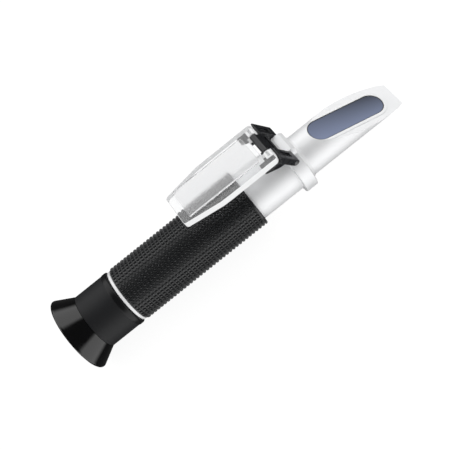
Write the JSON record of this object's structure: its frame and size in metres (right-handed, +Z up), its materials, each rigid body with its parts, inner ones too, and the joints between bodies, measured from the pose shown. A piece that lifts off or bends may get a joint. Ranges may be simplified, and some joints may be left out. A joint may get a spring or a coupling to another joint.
{
  "type": "refractometer",
  "caption": "Handheld refractometer: sighting tube with a slanted prism face, a clear daylight plate on a two-pivot link, a chequered grip and a focusing eyepiece.",
  "frame": {"origin": "on the optical axis, in the plane of the eyecup's rim", "axes": "+X along the optical axis from the eyecup to the prism end, +Z up out of the side that the sample face and hinge are on"},
  "size_m": [0.1718, 0.0356, 0.0472],
  "materials": {
    "satin_aluminium": "satin anodised",
    "bright_trim": "turned and bright",
    "grip_rubber": "matte, chequered",
    "focus_plastic": "matte black",
    "eyecup_rubber": "glossy black",
    "hinge_plastic": "satin moulded black",
    "clear_plastic": "clear polished",
    "frosted_plastic": "frosted, light scattering",
    "prism_glass": "polished, blue-grey",
    "lens_glass": "polished",
    "steel": "ground",
    "brass": "machined",
    "black_metal": "matte black",
    "seal_rubber": "matte"
  },
  "bodies": {
    "root": {"main_tube": "satin_aluminium", "grip_sleeve": "grip_rubber", "trim_ring": "bright_trim", "prism_housing": "satin_aluminium", "prism": "prism_glass", "prism_gasket": "seal_rubber", "hinge_pin": "steel", "reticle_glass": "lens_glass", "reticle_holder": "black_metal", "reticle_retainer": "black_metal", "aperture_stop": "black_metal", "carrier_guide": "black_metal", "tube_seal": "seal_rubber", "focus_seal": "seal_rubber", "lock_screws": "steel", "screw_bush": "brass"},
    "lens_carrier": {"lens_carrier": "black_metal", "objective_lens": "lens_glass", "objective_retainer": "black_metal"},
    "calibration_screw": {"calibration_screw": "brass"},
    "screw_plug": {"screw_plug": "seal_rubber"},
    "lens_barrel": {"lens_barrel": "black_metal", "eye_lens": "lens_glass", "eye_lens_retainer": "black_metal", "lens_spacer": "black_metal", "field_lens": "lens_glass", "guide_screw": "steel", "barrel_clip": "steel"},
    "eyepiece": {"focus_ring": "focus_plastic", "eyecup": "eyecup_rubber"},
    "hinge_bracket": {"hinge_bracket": "hinge_plastic", "cover_rod": "steel"},
    "daylight_plate": {"cover_plate": "clear_plastic", "diffuser_pad": "frosted_plastic"}
  },
  "joints": [
    {"name": "bracket_swing", "type": "hinge", "parent": "root", "child": "hinge_bracket", "pos_m": [0.1184, 0, 0.016], "axis": [0, 1, 0], "range_deg": [0, 142.4]},
    {"name": "cover_tilt", "type": "hinge", "parent": "hinge_bracket", "child": "daylight_plate", "pos_m": [0.1111, 0, 0.0278], "axis": [0, 1, 0], "range_deg": [0, 59.7]},
    {"name": "focus_slide", "type": "slide", "parent": "root", "child": "lens_barrel", "axis": [-1, 0, 0], "range_m": [0, 0.003]},
    {"name": "focus_turn", "type": "hinge", "parent": "lens_barrel", "child": "eyepiece", "pos_m": [0.02, 0, 0], "axis": [-1, 0, 0], "range_deg": [0, 270]},
    {"name": "calibration_turn", "type": "hinge", "parent": "root", "child": "calibration_screw", "pos_m": [0.0998, 0, -0.009], "axis": [0, 0, -1], "range_deg": [-180, 180]},
    {"name": "lens_shift", "type": "slide", "parent": "root", "child": "lens_carrier", "axis": [0, 0, 1], "range_m": [-0.00025, 0.00025]},
    {"name": "plug_pull", "type": "slide", "parent": "root", "child": "screw_plug", "axis": [0, 0, -1], "range_m": [0, 0.006]}
  ],
  "couplings": [
    {"joint": "focus_turn", "follows": "focus_slide", "rad_per_m": 1570.8},
    {"joint": "calibration_turn", "follows": "lens_shift", "rad_per_m": 12566}
  ]
}
